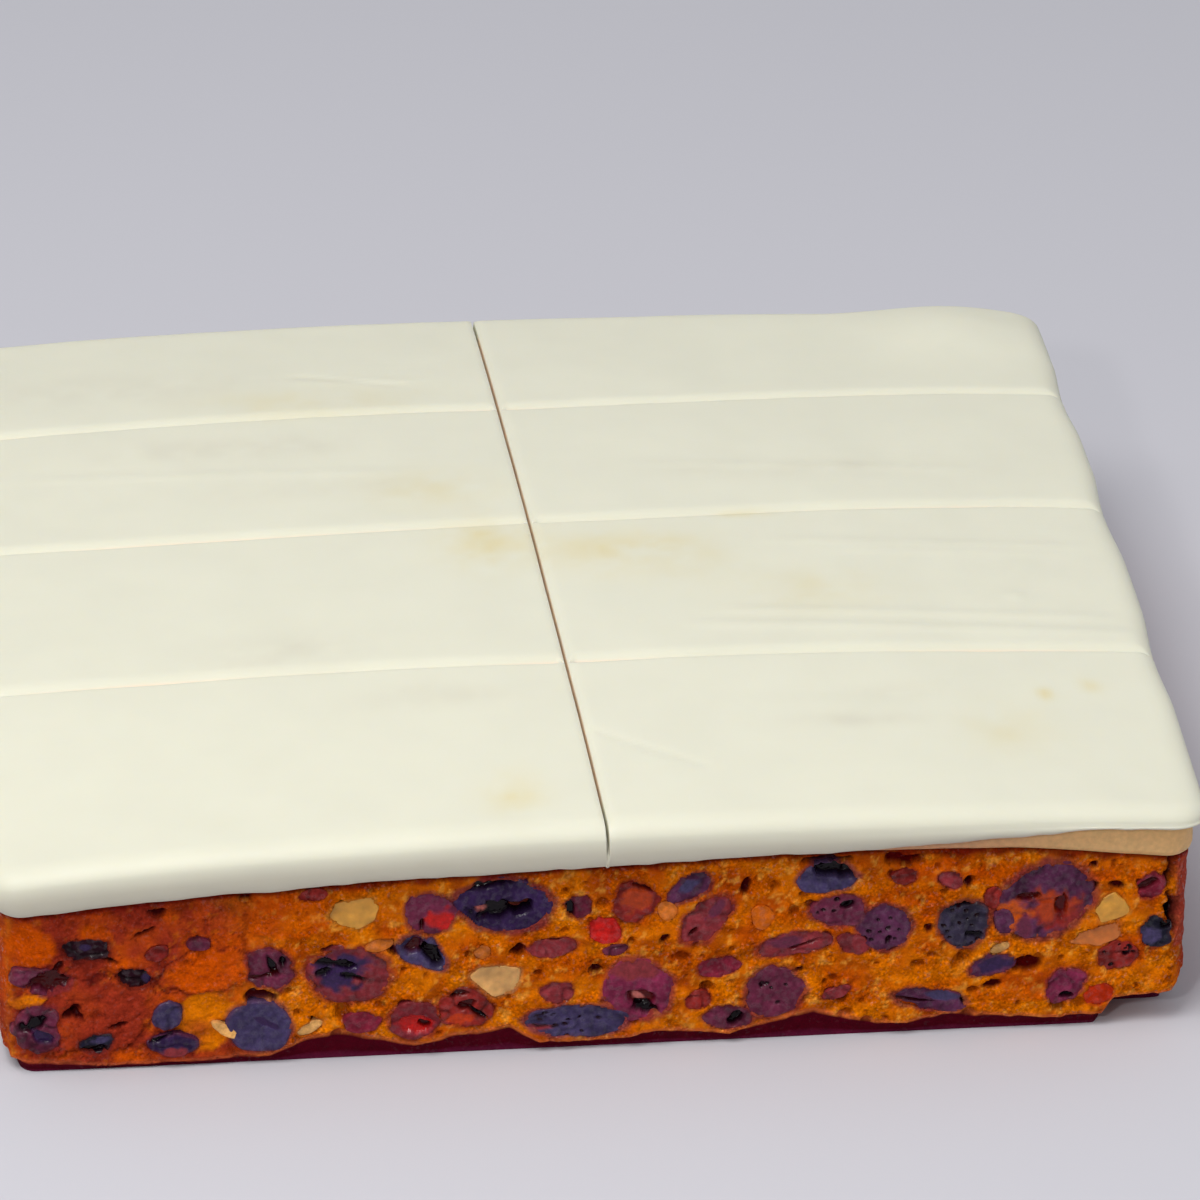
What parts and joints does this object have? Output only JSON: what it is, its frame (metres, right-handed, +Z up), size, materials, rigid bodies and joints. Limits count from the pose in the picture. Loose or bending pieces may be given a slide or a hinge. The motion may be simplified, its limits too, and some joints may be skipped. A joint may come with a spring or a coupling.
{
  "type": "fruit cake",
  "caption": "Square slab of dark rich fruit cake under a marzipan layer and a thick sheet of white icing, which is scored into bars; one side is cut and shows the fruit.",
  "frame": {"origin": "on the table, under the middle of the slab", "axes": "+Z up; the knife-cut face with the fruit looks along -Y; X runs along that face"},
  "size_m": [0.213, 0.2105, 0.0473],
  "materials": {
    "icing": "satin",
    "marzipan": "matt",
    "crumb": "matt",
    "raisin": "moist gloss",
    "cherry": "moist gloss",
    "almond": "satin",
    "peel": "moist gloss"
  },
  "bodies": {
    "root": {"icing": "icing", "marzipan": "marzipan", "cake": "crumb", "raisin_01": "raisin", "raisin_02": "raisin", "raisin_03": "raisin", "raisin_04": "raisin", "raisin_05": "raisin", "raisin_06": "raisin", "raisin_07": "raisin", "raisin_08": "raisin", "raisin_09": "raisin", "raisin_10": "raisin", "raisin_11": "raisin", "raisin_12": "raisin", "raisin_13": "raisin", "raisin_14": "raisin", "raisin_15": "raisin", "raisin_16": "raisin", "raisin_17": "raisin", "raisin_18": "raisin", "raisin_19": "raisin", "raisin_20": "raisin", "raisin_21": "raisin", "raisin_22": "raisin", "raisin_23": "raisin", "raisin_24": "raisin", "raisin_25": "raisin", "raisin_26": "raisin", "raisin_27": "raisin", "raisin_28": "raisin", "raisin_29": "raisin", "raisin_30": "raisin", "raisin_31": "raisin", "raisin_32": "raisin", "raisin_33": "raisin", "raisin_34": "raisin", "raisin_35": "raisin", "raisin_36": "raisin", "raisin_37": "raisin", "raisin_38": "raisin", "raisin_39": "raisin", "raisin_40": "raisin", "raisin_41": "raisin", "raisin_42": "raisin", "raisin_43": "raisin", "cherry_01": "cherry", "cherry_02": "cherry", "cherry_03": "cherry", "cherry_04": "cherry", "cherry_05": "cherry", "cherry_06": "cherry", "cherry_07": "cherry", "cherry_08": "cherry", "almond_01": "almond", "almond_02": "almond", "almond_03": "almond", "almond_04": "almond", "almond_05": "almond", "peel_01": "peel"}
  },
  "joints": []
}
